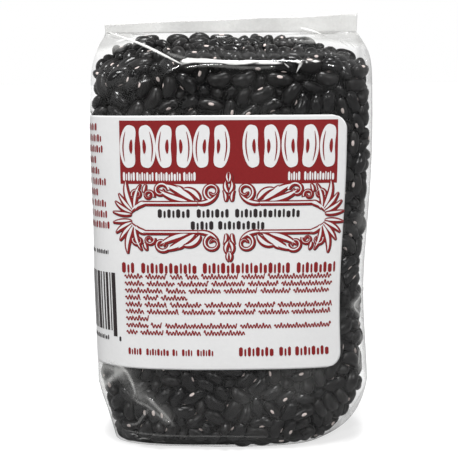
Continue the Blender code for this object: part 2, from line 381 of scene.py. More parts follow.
def new_piece(name, points, faces, finish):
    """A piece from points in millimetres and arrays of triangles or quads, smooth, in one finish, on the
    root body."""
    corners = np.concatenate([part.ravel() for part in faces]).astype(np.int32)
    sizes = np.concatenate([np.full(len(part), part.shape[1]) for part in faces])
    starts = np.concatenate([[0], np.cumsum(sizes)[:-1]]).astype(np.int32)
    mesh = bpy.data.meshes.new(name)
    mesh.vertices.add(len(points))
    mesh.vertices.foreach_set("co", ((points + MIDDLE) * MM).astype(np.float32).ravel())
    mesh.loops.add(len(corners))
    mesh.loops.foreach_set("vertex_index", corners)
    mesh.polygons.add(len(sizes))
    mesh.polygons.foreach_set("loop_start", starts)
    mesh.polygons.foreach_set("use_smooth", np.ones(len(sizes), bool))
    mesh.update(calc_edges=True)
    mesh.materials.append(finish)
    piece = bpy.data.objects.new(name, mesh)
    bpy.context.scene.collection.objects.link(piece)
    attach(piece, "root")
    return piece


def add_attribute(piece, name, values):
    """A number for each vertex, which a material reads by name."""
    field = piece.data.attributes.new(name, "FLOAT", "POINT")
    field.data.foreach_set("value", np.asarray(values, np.float32).ravel())


def grid_faces(rows, columns, closed):
    """Quads of a grid of points numbered row by row, wound so that they face out of rings that turn as the
    film's."""
    across = columns if closed else columns - 1
    row, column = np.meshgrid(np.arange(rows - 1), np.arange(across), indexing="ij")
    beside = (column + 1) % columns
    quads = np.stack([row * columns + column, row * columns + beside, (row + 1) * columns + beside,
                      (row + 1) * columns + column], axis=-1)
    return quads.reshape(-1, 4)


def bean_template(rings, sides):
    """A bean about the origin: rings of an oval along X, bent towards +Y and hollowed at its -Y side."""
    turn = np.linspace(0.0, math.pi, rings + 2)[1:-1, None]
    angle = np.linspace(0.0, 2.0 * math.pi, sides, endpoint=False)[None, :]
    along = np.repeat(0.5 * BEAN_LENGTH * np.cos(turn), sides, axis=1)
    plump = np.sin(turn) ** 0.80
    wide = 0.5 * BEAN_WIDTH * plump * np.cos(angle)
    flat = 0.5 * BEAN_THICKNESS * plump * np.sin(angle)
    share = 2.0 * along / BEAN_LENGTH
    wide = wide - 0.75 * share**2 + 0.30 + 0.45 * np.clip(-np.cos(angle), 0.0,
                                                          1.0) ** 2 * np.exp(-((share / 0.35) ** 2))
    tips = np.array([[0.5 * BEAN_LENGTH, -0.45, 0.0], [-0.5 * BEAN_LENGTH, -0.45, 0.0]])
    points = np.concatenate([np.stack([along, wide, flat], axis=-1).reshape(-1, 3), tips])
    quads = grid_faces(rings, sides, True)[:, ::-1]
    step = np.arange(sides)
    beside = (step + 1) % sides
    last = (rings - 1) * sides
    first_cap = np.column_stack([np.full(sides, rings * sides), step, beside])
    last_cap = np.column_stack([np.full(sides, rings * sides + 1), last + beside, last + step])
    return points, quads, np.concatenate([first_cap, last_cap])


def eye_template():
    """A bean's eye: a low oval dome with a rim, on the hollowed side of the bean."""
    sides = 10
    angle = np.linspace(0.0, 2.0 * math.pi, sides, endpoint=False)
    rings = []
    for reach, lift in ((1.10, -0.12), (1.0, 0.10), (0.55, 0.17)):
        rings.append(np.column_stack([1.15 * reach * np.cos(angle), np.full(sides, -lift),
                                      0.52 * reach * np.sin(angle)]))
    points = np.concatenate([*rings, [[0.0, -0.15, 0.0]]])
    points[:, 1] -= 0.5 * BEAN_WIDTH - 0.75
    quads = grid_faces(3, sides, True)[:, ::-1]
    step = np.arange(sides)
    cap = np.column_stack([2 * sides + step, np.full(sides, 3 * sides), 2 * sides + (step + 1) % sides])
    return points, quads, cap


def signed_volume(points, faces):
    """The volume that faces close in: positive when they face outwards."""
    total = 0.0
    for part in faces:
        for i in range(1, part.shape[1] - 1):
            a, b, c = points[part[:, 0]], points[part[:, i]], points[part[:, i + 1]]
            total += (np.cross(a, b) * c).sum() / 6.0
    return total


def scatter(name, template, centres, turns, sizes, tones, finish):
    """One piece of many copies of a template, each turned, sized and put in its place, with its own tone."""
    points, *faces = template
    if signed_volume(points, faces) < 0.0:
        faces = [part[:, ::-1] for part in faces]
    placed = np.einsum("nij,vj->nvi", turns, points) * sizes[:, None, None] + centres[:, None]
    placed[..., 2] = np.maximum(placed[..., 2], 0.2)
    starts = (np.arange(len(centres)) * len(points))[:, None, None]
    copied = [(part[None] + starts).reshape(-1, part.shape[1]) for part in faces]
    piece = new_piece(name, placed.reshape(-1, 3), copied, finish)
    add_attribute(piece, "tone", np.repeat(tones, len(points)))
    return piece


# The film's cloudiness and its folds. A patch is a soft line of cloud from one (x, z) to another, with its
# width and
# strength. A fold has knots (x, z), or (x, y, z) where it hangs free, widths along it, a height, a cloudiness
# and how
# square its profile is.

# Painted sheen: the most grey cloud that a flat patch of film is given in place of the light it reflects.
FACET_SHEEN = 0.05
EDGE_HAZE = 0.45
FILM_LIFT = 0.16
FACET_COUNT = 260
HEADER_HAZE = 0.58
CREASE_OUTWARD = np.array([-0.25, -0.60, 0.76])
HAZE_PATCHES = (
    ((-52.0, 34.0), (-44.0, 32.0), 2.6, 0.42),
    ((-51.0, 24.0), (-45.5, 29.5), 1.1, 0.40),
    ((-52.0, 33.0), (-50.5, 22.0), 1.2, 0.40),
    ((-41.0, 30.5), (-37.5, 23.0), 3.0, 0.10),
    ((-36.0, 23.5), (-26.0, 14.5), 2.6, 0.10),
    ((53.0, 62.0), (47.5, 57.0), 1.6, 0.35),
    ((47.5, 56.0), (52.5, 49.0), 1.6, 0.30),
    ((51.0, 42.0), (50.0, 31.0), 1.6, 0.30),
    ((53.0, 96.0), (51.5, 70.0), 1.8, 0.30),
    ((51.0, 95.0), (48.5, 88.0), 2.0, 0.14),
    ((53.5, 140.0), (53.5, 110.0), 1.5, 0.28),
    ((44.5, 11.0), (50.5, 17.0), 1.6, 0.32),
    ((33.5, 1.5), (41.0, 7.0), 1.2, 0.25),
    ((24.0, 24.0), (32.0, 30.0), 6.0, 0.025),
    ((6.0, 21.0), (14.0, 27.0), 6.0, 0.018),
    ((-47.0, 140.0), (-38.0, 146.0), 5.0, 0.022),
)
FOLDS = (
    # The bright edge of the front shoulder, and its crumpled right end: their white cloud is a painted highlight
    # of the overhead lamp.
    (((-18.4, 147.9), (-16.4, 148.7), (-12.0, 148.8), (-5.0, 148.5), (2.0, 147.9), (8.0, 148.3),
      (9.4, 148.2)),
     (2.2, 3.1, 2.3, 2.5, 1.9, 1.7, 2.1, 1.8, 2.1, 1.4), 0.20, 0.90, 3.0),
    (((8.8, 148.0), (13.0, 147.8), (18.4, 147.7)), (1.7, 1.2, 1.1, 0.8), 0.20, 0.88, 3.0),
    (((18.8, 147.9), (20.8, 146.2)), (0.3, 0.8), 0.20, 0.70, 3.0),
    (((21.0, 148.2), (23.6, 148.3), (25.6, 147.7)), (0.4, 1.2, 1.8), 0.20, 0.92, 3.0),
    (((25.3, 147.8), (24.4, 146.2), (23.4, 144.2)), (1.6, 0.8, 0.2), 0.20, 0.75, 3.0),
    (((26.8, 148.2), (27.6, 147.8)), (0.8, 0.8), 0.20, 0.80, 3.0),
    (((28.6, 148.4), (31.0, 148.3), (32.4, 148.3)), (0.4, 1.4, 0.2), 0.20, 0.88, 3.0),
    (((-17.0, 146.4), (-8.0, 147.0), (4.0, 146.2), (16.0, 146.2)), (0.8, 1.2, 1.4, 0.8), 0.15, 0.10, 2.0),
    # The crease over the top, from the header's left foot to the shoulder, whose white cloud is a painted
    # highlight, and a fainter one beside it.
    (((-49.4, 17.0, 161.2), (-34.0, -1.5, 155.4), (-17.8, -21.8, 147.4)), (0.6, 1.0, 1.5, 1.4, 0.6), 0.30,
     0.92, 2.5),
    (((-24.0, -12.0, 152.0), (-20.0, -16.4, 150.6), (-16.5, -20.8, 149.7)), (1.0, 2.2, 1.6), 0.10, 0.12, 2.0),
    # The crumpled right end of the header, its white cloud a painted highlight.
    (((28.0, 17.0, 162.4), (33.5, 15.0, 160.8), (39.0, 14.0, 157.8)), (1.4, 1.1, 0.6), 0.20, 0.75, 2.0),
    (((42.4, 12.0, 157.4), (46.6, 11.0, 154.6)), (0.9, 0.6), 0.20, 0.65, 2.0),
    (((46.0, 16.0, 157.4), (49.6, 14.0, 154.2)), (0.7, 0.5), 0.20, 0.60, 2.0),
    # The lower left: two ridges side by side that run out into a long narrow blade.
    (((-49.0, 34.6), (-44.8, 34.2), (-41.2, 31.6), (-38.8, 27.6), (-37.8, 24.2)), (2.4, 2.8, 2.0, 1.6, 1.3),
     0.35, 0.30, 1.8),
    (((-40.6, 29.8), (-38.6, 26.4), (-37.8, 23.4), (-38.4, 21.4)), (0.9, 1.2, 1.1, 0.8), 0.30, 0.22, 1.8),
    (((-38.8, 21.6), (-36.4, 19.8), (-33.2, 18.6), (-29.4, 15.6), (-23.6, 11.4)), (1.2, 1.4, 1.2, 1.2, 0.8),
     0.25, 0.15, 2.0),
    (((-34.0, 22.8), (-31.0, 20.2), (-28.0, 17.0), (-23.2, 12.0)), (1.4, 1.7, 1.6, 1.0), 0.40, 0.21, 2.0),
    (((-32.2, 17.6), (-35.0, 14.0), (-37.4, 11.0), (-41.4, 10.2)), (1.0, 1.4, 1.2, 0.9), 0.15, 0.11, 2.0),
    (((-50.6, 23.8), (-48.2, 26.6), (-45.2, 30.0)), (1.2, 2.0, 1.4), 0.10, 0.22, 2.0),
    # The fold along the bottom and the crumples at its left end.
    (((-43.6, 7.4), (-36.0, 7.2), (-24.0, 6.8), (-10.0, 6.9), (6.0, 6.7), (14.0, 6.4)),
     (0.9, 0.9, 0.8, 0.7, 0.5), 0.20, 0.13, 2.0),
    (((-40.4, 5.6), (-38.6, 6.2), (-37.4, 5.4), (-38.4, 4.4)), (0.6, 0.7), 0.20, 0.40, 2.0),
    (((-37.6, 3.4), (-35.4, 4.4), (-32.6, 4.4)), (0.5, 1.0, 0.5), 0.20, 0.45, 2.0),
    (((-42.6, 5.2), (-41.4, 3.0)), (0.7, 0.6), 0.20, 0.30, 2.0),
    (((-30.0, 3.2), (-26.0, 3.8)), (0.4, 0.4), 0.15, 0.20, 2.0),
    # The right side's small folds.
    (((51.4, 62.0), (48.6, 58.6), (46.6, 56.2), (48.8, 52.4), (51.0, 49.2)), (1.6, 1.6, 1.2, 1.4, 0.9), 0.20,
     0.42, 2.0),
    (((50.0, 42.0), (49.0, 37.0), (48.8, 31.4)), (0.9, 1.2, 0.8), 0.20, 0.40, 2.0),
    (((50.2, 151.0), (50.6, 146.0), (50.4, 141.0)), (0.5, 0.7, 0.4), 0.15, 0.16, 2.0),
)


# The film's drape over the beans.


def nearest_cells(rows, points):
    """The row and column of the grid point nearest to each point, looked up on every fourth one and then
    close by."""
    coarse = rows[::4, ::4]
    apart = ((points[:, None] - coarse.reshape(1, -1, 3)) ** 2).sum(axis=2)
    row, column = np.unravel_index(apart.argmin(axis=1), coarse.shape[:2])
    return row * 4, column * 4


def bean_tops(rows, normals, centres, turns, sizes):
    """How far the beans reach out of the rest surface along its normals: each line is cut with each near
    oval."""
    reach = 9
    height = np.full(rows.shape[:2], -8.0)
    row, column = nearest_cells(rows, centres)
    step = np.arange(-reach, reach + 1)
    near_row = np.clip(row[:, None, None] + step[None, :, None], 0, rows.shape[0] - 1)
    near_column = (column[:, None, None] + step[None, None, :]) % rows.shape[1]
    near_row, near_column = np.broadcast_arrays(near_row, near_column)
    start = rows[near_row, near_column] - centres[:, None, None]
    line = normals[near_row, near_column]
    axes = 0.5 * np.array([BEAN_LENGTH, BEAN_WIDTH, BEAN_THICKNESS])
    start = np.einsum("nji,nabj->nabi", turns, start) / (axes * sizes[:, None, None, None])
    line = np.einsum("nji,nabj->nabi", turns, line) / (axes * sizes[:, None, None, None])
    a = (line**2).sum(axis=3)
    b = (start * line).sum(axis=3)
    c = (start**2).sum(axis=3) - 1.0
    inside = b * b - a * c
    top = np.where(inside > 0.0, (-b + np.sqrt(np.maximum(inside, 0.0))) / a, -8.0)
    top = np.where(np.abs(top) < 8.0, top, -8.0)
    np.maximum.at(height, (near_row.ravel(), near_column.ravel()), top.ravel())
    return height


def shifted(field, up, along):
    """A grid's values moved by rows and columns; columns go round, and the first and last row repeat."""
    rows = np.clip(np.arange(field.shape[0]) + up, 0, field.shape[0] - 1)
    return np.roll(field[rows], -along, axis=1)


def stretched(height, passes):
    """A taut sheet over heights: each point is raised to the straight line between points on its two
    sides."""
    ways = ((1, 0), (0, 1), (1, 1), (1, -1), (1, 2), (2, 1), (1, -2), (2, -1))
    for _ in range(passes):
        for far in (1, 2, 3, 5):
            for up, along in ways:
                span = 0.5 * (shifted(height, far * up, far * along)
                              + shifted(height, -far * up, -far * along))
                height = np.maximum(height, span)
    return height


def softened(field, passes):
    """A grid's values averaged with their four neighbours."""
    for _ in range(passes):
        around = shifted(field, 1, 0) + shifted(field, -1, 0) + shifted(field, 0, 1) + shifted(field, 0, -1)
        field = 0.5 * field + 0.125 * around
    return field


# The label: a sheet on the wall, and what is printed on it, placed by distance along the wall and height.

LABEL_LEFT = -86.0
LABEL_RIGHT = 41.9
LABEL_BOTTOM = label_low[2] + 0.1
LABEL_TOP = label_high[2] - 0.1
LABEL_CORNER = 5.5
LABEL_LIFT = 0.45
LABEL_THICKNESS = 0.16


def label_table():
    """The label's surface on a fine grid of distance and height, with slow swells where the paper isn't
    quite flat."""
    along = np.linspace(LABEL_LEFT, LABEL_RIGHT, 261)
    heights = np.linspace(LABEL_BOTTOM, LABEL_TOP, 97)
    whole = wall_ring(np.linspace(0.0, 1.0, 721), 0.5 * FRONT_SHOULDER)
    girth = np.linalg.norm(np.diff(whole, axis=0), axis=1).sum()
    rows = np.array([wall_ring(0.5 + along / girth, height) for height in heights])
    turned = np.cross(np.gradient(rows, axis=1), np.gradient(rows, axis=0))
    normals = turned / np.linalg.norm(turned, axis=2, keepdims=True)
    s, z = np.meshgrid(along, heights)
    swell = 0.10 * np.sin(0.13 * s + 0.045 * z
                          + 0.5) + 0.08 * np.sin(0.07 * s - 0.11 * z) + 0.03 * np.sin(0.31 * s + 0.2 * z)
    rows = rows + normals * (LABEL_LIFT + swell)[..., None]
    return along, heights, rows, normals


LABEL_ALONG, LABEL_HEIGHTS, LABEL_ROWS_TABLE, LABEL_NORMALS = label_table()


def on_label(s, z, lift):
    """Points at distances s along the label and heights z, lifted off it: the table's four nearest, mixed."""
    s, z = np.asarray(s, float), np.asarray(z, float)
    column = (s - LABEL_ALONG[0]) / (LABEL_ALONG[1] - LABEL_ALONG[0])
    row = (z - LABEL_HEIGHTS[0]) / (LABEL_HEIGHTS[1] - LABEL_HEIGHTS[0])
    i = np.clip(np.floor(row).astype(int), 0, len(LABEL_HEIGHTS) - 2)
    j = np.clip(np.floor(column).astype(int), 0, len(LABEL_ALONG) - 2)
    down, side = (row - i)[..., None], (column - j)[..., None]

    def mixed(table):
        low = table[i, j] * (1 - side) + table[i, j + 1] * side
        high = table[i + 1, j] * (1 - side) + table[i + 1, j + 1] * side
        return low * (1 - down) + high * down

    return mixed(LABEL_ROWS_TABLE) + mixed(LABEL_NORMALS) * np.asarray(lift)[..., None]


def make_label(finish):
    """The paper: two layers of a grid with rounded corners, joined round its edge."""
    columns, rows = 170, 110
    share = np.linspace(0.0, 1.0, rows)
    crowded = np.cos(math.pi * share) * (0.35 + 0.65 * np.abs(1 - 2 * share))
    heights = LABEL_BOTTOM + (LABEL_TOP - LABEL_BOTTOM) * (0.5 - 0.5 * crowded)
    heights = np.sort(heights)
    to_edge = np.minimum(heights - LABEL_BOTTOM, LABEL_TOP - heights)
    into = np.clip(LABEL_CORNER - to_edge, 0.0, LABEL_CORNER)
    inset = LABEL_CORNER - np.sqrt(LABEL_CORNER**2 - into**2)
    s = LABEL_LEFT + inset[:, None] + (LABEL_RIGHT - LABEL_LEFT
                                       - 2 * inset[:, None]) * np.linspace(0, 1, columns)
    z = np.repeat(heights[:, None], columns, axis=1)
    outer = on_label(s, z, np.zeros_like(s)).reshape(-1, 3)
    inner = on_label(s, z, np.full_like(s, -LABEL_THICKNESS)).reshape(-1, 3)
    front = grid_faces(rows, columns, False)
    count = rows * columns
    bottom = np.arange(columns)
    right = np.arange(rows) * columns + columns - 1
    top = count - 1 - np.arange(columns)
    left = (rows - 1 - np.arange(rows)) * columns
    rim = np.concatenate([bottom[:-1], right[:-1], top[:-1], left[:-1]])
    beyond = np.roll(rim, -1)
    edge = np.column_stack([rim, rim + count, beyond + count, beyond])
    return new_piece("label_sheet", np.concatenate([outer, inner]), [front, front[:, ::-1] + count, edge],
                     finish)


class Print:
    """Printed shapes gathered into one piece: strips of quads between two edges, each at its own lift."""

    def __init__(self):
        """An empty sheet of print."""
        self.points, self.faces, self.count = [], [], 0

    def strip(self, low, high, lift):
        """A strip between two rows of (distance, height) points of equal number."""
        grid = np.stack([low, high])
        points = on_label(grid[..., 0], grid[..., 1], np.full(grid.shape[:2], lift)).reshape(-1, 3)
        faces = grid_faces(2, len(low), False)
        a, b, c = (grid.reshape(-1, 2)[faces[:, k]] for k in (0, 1, 2))
        turn = (b - a)[:, 0] * (c - b)[:, 1] - (b - a)[:, 1] * (c - b)[:, 0]
        if turn.sum() < 0.0:
            faces = faces[:, ::-1]
        self.points.append(points)
        self.faces.append(faces + self.count)
        self.count += len(points)

    def block(self, left, right, bottom, top, lift):
        """A rectangle, cut across every two millimetres so that it bends with the label."""
        steps = max(2, int((right - left) / 2.0) + 2)
        s = np.linspace(left, right, steps)
        layers = max(1, int((top - bottom) / 4.0))
        levels = np.linspace(bottom, top, layers + 1)
        for low, high in zip(levels, levels[1:]):
            self.strip(np.column_stack([s, np.full(steps, low)]), np.column_stack([s, np.full(steps, high)]),
                       lift)

    def stroke(self, path, widths, lift):
        """A stroke along a path: lanes side by side across its width, narrow enough to bend with the
        label."""
        ahead = np.gradient(path, axis=0)
        aside = np.column_stack([-ahead[:, 1], ahead[:, 0]])
        aside /= np.maximum(np.linalg.norm(aside, axis=1, keepdims=True), 1e-9)
        whole = np.asarray(widths)[:, None] * aside
        edges = np.linspace(-0.5, 0.5, max(1, round(float(np.max(widths)) / 1.2)) + 1)
        for low, high in zip(edges, edges[1:]):
            self.strip(path + low * whole, path + high * whole, lift)

    def finished(self, name, finish, slot):
        """All the shapes as one piece."""
        return new_piece(name, np.concatenate(self.points), self.faces, finish)


BAND_LEFT, BAND_RIGHT, BAND_BOTTOM, BAND_TOP = -40.8, 38.5, 104.2, 127.5
PANEL_MIDDLE = (-1.2, 91.6)


def beads(ink, left, right, bottom, top, pitch, lift):
    """A row of plump upright ovals of uneven width and height, in place of words."""
    t = np.linspace(0.0, 1.0, 9)
    plump = (1.0 - np.abs(2.0 * t - 1.0) ** 4) ** 0.25
    edge, number = left, 0
    while edge < right - 0.3 * pitch:
        width = pitch * (0.64, 0.34, 0.52, 0.34, 0.64, 0.42, 0.52)[number % 7]
        tall = (top - bottom) * (1.0, 0.82, 1.0, 0.86, 1.0, 0.78)[number % 6]
        path = np.column_stack([np.full(9, edge + 0.5 * width), bottom + tall * t])
        ink.stroke(path, width * plump, lift)
        edge += width + 0.24 * pitch
        number += 1


def upright_bean(pale, red, middle, way, lean):
    """A tall pale bean on end, bent to one side, with an oval eye in its hollow and a thin line down its
    back."""
    t = 0.5 - 0.5 * np.cos(np.linspace(0.0, math.pi, 29))
    plump = (1.0 - np.abs(2.0 * t - 1.0) ** 3.0) ** (1.0 / 3.0)
    bend = way * 1.3 * (np.sin(math.pi * t) - 0.6)
    path = np.column_stack([middle + bend + lean * (t - 0.5), 110.3 + 15.4 * t])
    pale.stroke(path, 5.5 * plump, 0.10)
    eye = path[11:18] - (way * 1.35, 0.0)
    red.stroke(eye, 1.3 * np.sin(math.pi * np.linspace(0.06, 0.94, len(eye))) ** 0.7, 0.18)
    back = path[7:22] + (way * 1.55, 0.0)
    red.stroke(back, 0.5 * np.sin(math.pi * np.linspace(0.04, 0.96, len(back))) ** 0.7, 0.18)


def ripple(ink, left, right, base, tall, pitch, weight, lift):
    """A wavy line in place of a line of small print: a sine whose crests now and then stand taller."""
    count = int((right - left) / pitch * 10)
    s = np.linspace(left, right, count)
    turn = 2.0 * math.pi * (s - left) / pitch
    crest = 0.5 + 0.5 * np.sin(turn)
    taller = 1.0 + 0.55 * (np.sin(0.37 * turn + left) > 0.55)
    path = np.column_stack([s, base + tall * crest * taller])
    ink.stroke(path, np.full(count, weight), lift)


def words(ink, mark, spans, *sizes):
    """The same mark over several spans of distance."""
    for left, right in spans:
        mark(ink, left, right, *sizes)


def curl(centre, start_radius, end_radius, start, turn):
    """A spiral's points: the radius shrinks evenly as the angle turns."""
    t = np.linspace(0.0, 1.0, 34)
    radius = start_radius + (end_radius - start_radius) * t
    angle = math.radians(start) + math.radians(turn) * t
    return np.column_stack([centre[0] + radius * np.cos(angle), centre[1] + radius * np.sin(angle)])


def plume(start, heading, length, bend):
    """A bending line's points: its heading turns faster towards its tip."""
    t = np.linspace(0.0, 1.0, 22)
    angle = math.radians(heading) + math.radians(bend) * t**1.4
    steps = length / (len(t) - 1) * np.column_stack([np.cos(angle), np.sin(angle)])
    return np.array(start) + np.concatenate([[[0.0, 0.0]], np.cumsum(steps, axis=0)[:-1]])


# One quarter of the scrolled border: paths about the panel's middle, and each one's greatest width.
BORDER_QUARTER = (
    (plume((11.5, 5.5), 0.0, 20.5, 0.0), 1.2, "even"),
    (plume((12.0, 5.5), 182.0, 9.5, -70.0), 1.5, "leaf"),
    (curl((6.0, 9.8), 3.3, 0.7, -75.0, 430.0), 1.25, "taper"),
    (plume((10.5, 6.6), 62.0, 8.0, -75.0), 2.0, "leaf"),
    (plume((12.5, 6.3), 38.0, 12.5, -22.0), 2.5, "leaf"),
    (plume((15.0, 6.2), 12.0, 11.5, 26.0), 2.0, "leaf"),
    (plume((16.0, 8.0), 72.0, 5.0, -50.0), 1.6, "leaf"),
    (curl((24.6, 10.2), 2.9, 0.6, 175.0, -400.0), 1.3, "taper"),
    (curl((29.2, 8.4), 1.9, 0.5, 200.0, -420.0), 1.0, "taper"),
    (curl((33.6, 8.7), 1.9, 0.5, -20.0, 420.0), 1.0, "taper"),
    (plume((31.0, 9.4), 96.0, 3.4, 30.0), 1.3, "leaf"),
    (plume((30.0, 5.4), -8.0, 7.5, -60.0), 1.5, "leaf"),
    (plume((35.6, 1.2), 2.0, 7.6, 12.0), 1.5, "leaf"),
    (plume((35.4, 1.8), 22.0, 8.0, 30.0), 1.6, "leaf"),
    (plume((35.2, 2.4), 44.0, 8.6, 20.0), 1.6, "leaf"),
    (plume((35.0, 3.0), 62.0, 11.5, 40.0), 1.9, "leaf"),
    (plume((34.6, 3.2), 92.0, 10.0, 34.0), 1.5, "leaf"),
    (plume((34.2, 3.0), 118.0, 5.0, 55.0), 1.3, "leaf"),
    (plume((0.0, 9.0), 52.0, 5.4, 76.0), 1.4, "leaf"),
    (plume((1.2, 6.0), 100.0, 4.6, -60.0), 1.3, "leaf"),
    (plume((0.0, 13.0), 64.0, 4.2, 62.0), 1.2, "leaf"),
)


def border(dark, red, pale):
    """The scrolled border: each quarter's strokes, mirrored, as a dark edge, a red body and a pale heart."""
    for path, width, kind in BORDER_QUARTER:
        t = np.linspace(0.0, 1.0, len(path))
        profile = {
            "even": np.full(len(path), 1.0),
            "leaf": 0.16 + 0.84 * np.sin(math.pi * t**0.8) ** 0.7,
            "taper": 1.0 - 0.45 * t,
        }[kind] * width * 1.3
        heart = np.clip(0.76 * profile - 0.68, 0.03, None)
        for right in (-1.0, 1.0):
            for up in (-1.0, 1.0):
                placed = path * (right, up) * (1.0, 1.0 if up > 0 else 0.97) + PANEL_MIDDLE
                dark.stroke(placed + (0.14, -0.20), profile + 0.42, 0.06)
                red.stroke(placed, profile + 0.30, 0.09)
                pale.stroke(placed + (-0.14, 0.16), heart, 0.13)


def make_prints(finishes):
    """Everything printed on the label, all of it generic: a band of upright beans, a scrolled border, and bars
    and wavy lines where a pack has its words."""
    red, pale, dark = Print(), Print(), Print()
    red.block(BAND_LEFT, BAND_RIGHT, BAND_BOTTOM, BAND_TOP, 0.04)
    for number, middle in enumerate((-37.4, -30.8, -24.3, -17.6, -10.8, -4.0, 7.1, 14.1, 21.2, 28.2, 35.1)):
        upright_bean(pale, red, middle, 1.0 if number % 2 else -1.0, (0.5, -0.7, 0.2, -0.4, 0.8)[number % 5])
    words(pale, beads, ((-39.8, -35.6), (-34.8, -28.6), (-27.8, -18.6), (-17.7, -12.6)), 105.3, 108.7, 1.3,
          0.08)
    words(pale, beads, ((20.3, 25.4), (26.2, 37.4)), 105.3, 108.7, 1.3, 0.08)
    border(dark, red, pale)
    words(dark, beads, ((-27.2, -14.6), (-13.0, -0.5), (1.0, 24.8)), 91.6, 95.0, 2.4, 0.06)
    words(dark, beads, ((-15.2, -6.8), (-5.2, 11.8)), 87.1, 90.5, 2.4, 0.06)
    words(red, beads, ((-41.2, -35.8), (-33.8, -13.0), (-11.0, 21.8), (24.4, 40.0)), 70.5, 74.8, 2.4, 0.06)
    lines = (
        (68.9, ((-40.2, -33.5), (-32.2, -24.5), (-23.0, -18.5), (-17.3, -12.6), (-11.5, 2.0), (3.4, 12.2),
                (13.4, 38.0))),
        (66.2, ((-40.2, -33.0), (-31.8, -21.5), (-20.3, -9.0), (-7.8, 4.5), (5.8, 17.2), (18.6, 38.4))),
        (63.5, ((-40.2, -26.0), (-24.6, -17.5), (-16.2, -4.5), (-3.2, 9.2), (10.6, 22.0), (23.3, 37.2))),
        (60.8, ((-40.2, -34.4), (-33.2, -27.8), (-26.6, -17.0))),
        (58.1, ((-40.2, -34.0), (-32.8, -24.6), (-23.2, -11.8), (-10.4, 3.2), (4.6, 16.0), (17.2, 38.6))),
        (55.4, ((-40.2, -33.2), (-32.0, -20.2), (-18.8, -6.6), (-5.4, 8.4), (9.8, 21.4), (22.6, 37.8))),
        (52.7, ((-40.2, -31.4),)),
        (50.0, ((-40.2, -31.8), (-30.6, -26.6), (-25.2, 1.4), (2.8, 14.6), (15.8, 38.0))),
        (47.3, ((-40.2, -36.0), (-34.8, -26.2), (-25.0, -12.0), (-10.8, 4.4))),
    )
    for base, spans in lines:
        words(red, ripple, spans, base - 0.35, 1.3, 1.2, 0.46, 0.06)
    words(red, beads, ((-39.8, -34.4), (-32.8, -24.4), (-22.8, -20.2), (-19.2, -15.0), (-13.6, -7.6)), 38.8,
          41.6, 1.5, 0.06)
    words(red, beads, ((2.2, 16.0), (17.6, 22.2), (23.8, 38.0)), 38.6, 42.4, 2.3, 0.06)
    for number, end in enumerate((-50.3, -47.9, -47.2, -51.2, -49.4, -46.3, -51.0, -46.8, -46.3, -45.8)):
        bottom = 123.6 - 4.07 * number
        split = end - 5.2 - 1.3 * (number % 3)
        words(red, beads, ((-72.0, split - 0.9), (split, end)), bottom, bottom + 2.9, 1.5, 0.06)
    words(dark, beads, ((-60.0, -54.0), (-53.0, -46.6)), 77.2, 79.0, 1.0, 0.06)
    stripe, number = -72.0, 0
    while stripe < -44.6:
        width = (0.7, 1.1, 0.5, 1.6, 0.6)[number % 5]
        dark.block(stripe, stripe + width, 45.4 if stripe > -46.5 else 47.6, 70.3, 0.06)
        stripe += width + (0.6, 0.45, 0.8, 0.5)[number % 4]
        number += 1
    words(dark, beads, ((-60.0, -47.6), (-43.4, -42.4)), 43.6, 45.6, 1.3, 0.06)
    pale.finished("pale_print", finishes["pale_ink"], "paper")
    red.finished("red_print", finishes["red_ink"], "red_ink")
    dark.finished("dark_print", finishes["dark_ink"], "dark_ink")


# Finishes.


def new_group(name, inputs, outputs):
    """An empty shader node group with named number inputs and with outputs of the kinds given."""
    group = bpy.data.node_groups.new(name, "ShaderNodeTree")
    for socket, value in inputs:
        made = group.interface.new_socket(socket, in_out="INPUT", socket_type="NodeSocketFloat")
        made.default_value = value
    for socket, kind in outputs:
        group.interface.new_socket(socket, in_out="OUTPUT", socket_type=kind)
    return group, group.nodes.new("NodeGroupInput"), group.nodes.new("NodeGroupOutput")


def fine_mottle():
    """A node group: soft noise of a stated size, as a value between 1 less the depth and 1, and as a
    height."""
    group, given, result = new_group(
        "fine_mottle", (("Scale", 400.0), ("Depth", 0.1)),
        (("Value", "NodeSocketFloat"), ("Height", "NodeSocketFloat"))
    )
    nodes, links = group.nodes, group.links
    place = nodes.new("ShaderNodeTexCoord")
    noise = nodes.new("ShaderNodeTexNoise")
    noise.inputs["Detail"].default_value = 3.0
    links.new(place.outputs["Object"], noise.inputs["Vector"])
    links.new(given.outputs["Scale"], noise.inputs["Scale"])
    spread = nodes.new("ShaderNodeMath")
    spread.operation = "MULTIPLY"
    links.new(noise.outputs["Fac"], spread.inputs[0])
    links.new(given.outputs["Depth"], spread.inputs[1])
    take = nodes.new("ShaderNodeMath")
    take.operation = "SUBTRACT"
    take.inputs[0].default_value = 1.0
    links.new(spread.outputs[0], take.inputs[1])
    links.new(take.outputs[0], result.inputs["Value"])
    links.new(noise.outputs["Fac"], result.inputs["Height"])
    return group


